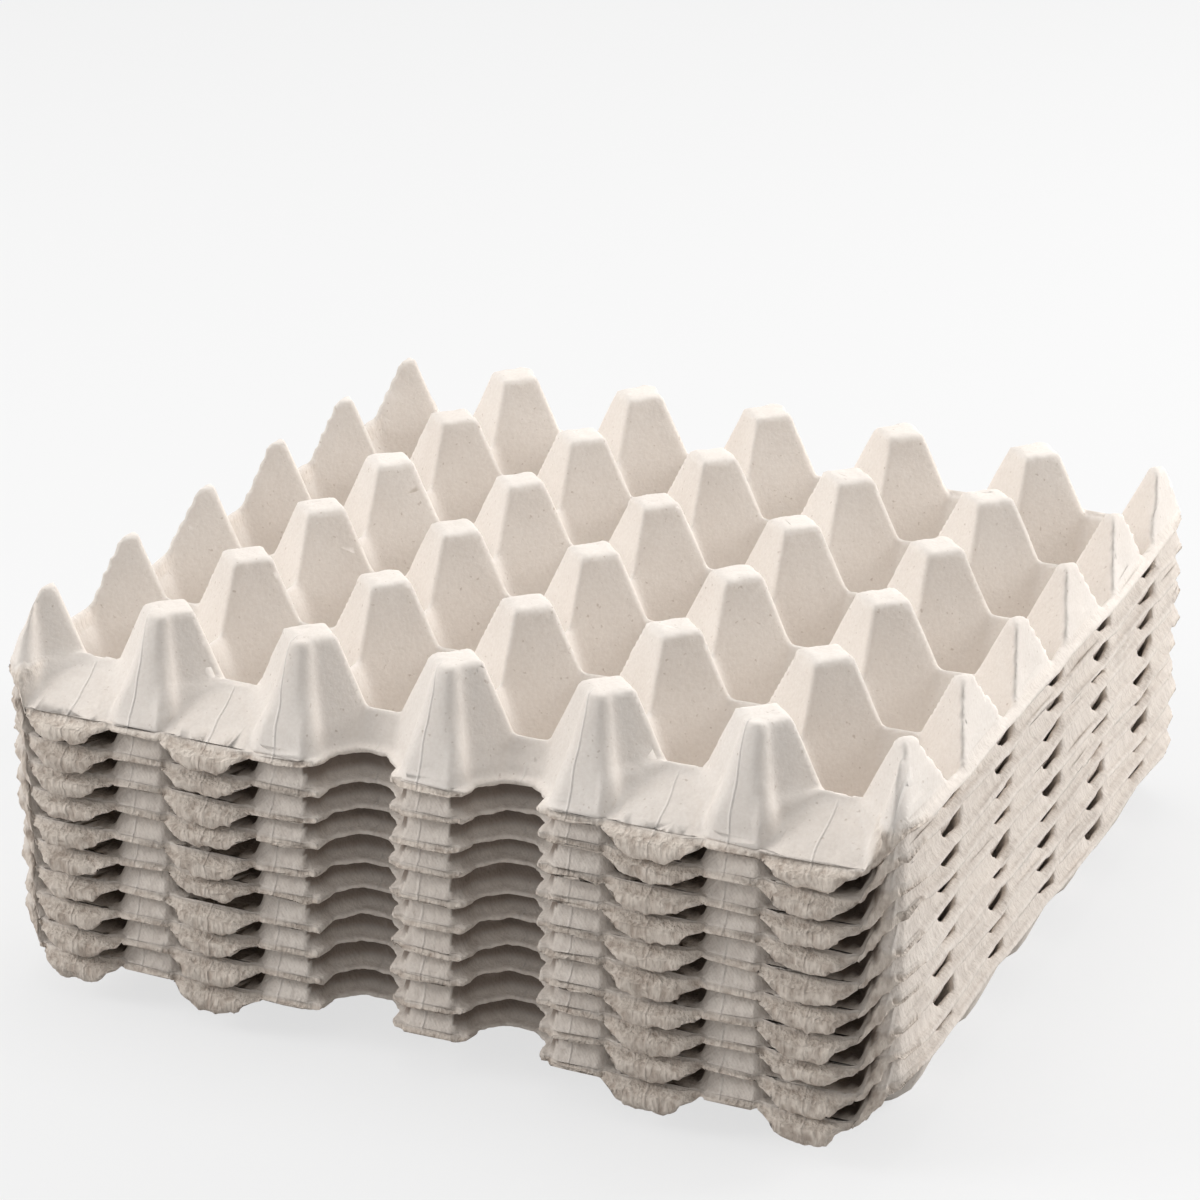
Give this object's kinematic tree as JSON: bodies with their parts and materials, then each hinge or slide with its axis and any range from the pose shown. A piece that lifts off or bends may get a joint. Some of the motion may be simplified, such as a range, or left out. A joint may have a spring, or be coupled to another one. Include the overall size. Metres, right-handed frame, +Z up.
{
  "type": "stack of egg trays",
  "caption": "Nested stack of moulded pulp egg trays with cupped cells, post tops, finger notches and rough rims.",
  "frame": {"origin": "centre of the footprint, on the surface that the bottom tray stands on", "axes": "+Z up, out of the cups; X along the edges with whole posts and finger notches; -Y is the front"},
  "size_m": [0.3004, 0.2968, 0.128],
  "materials": {
    "pulp": "matte"
  },
  "bodies": {
    "root": {"tray_01": "pulp", "tray_02": "pulp", "tray_03": "pulp", "tray_04": "pulp", "tray_05": "pulp", "tray_06": "pulp", "tray_07": "pulp", "tray_08": "pulp", "tray_09": "pulp", "tray_10": "pulp"}
  },
  "joints": []
}
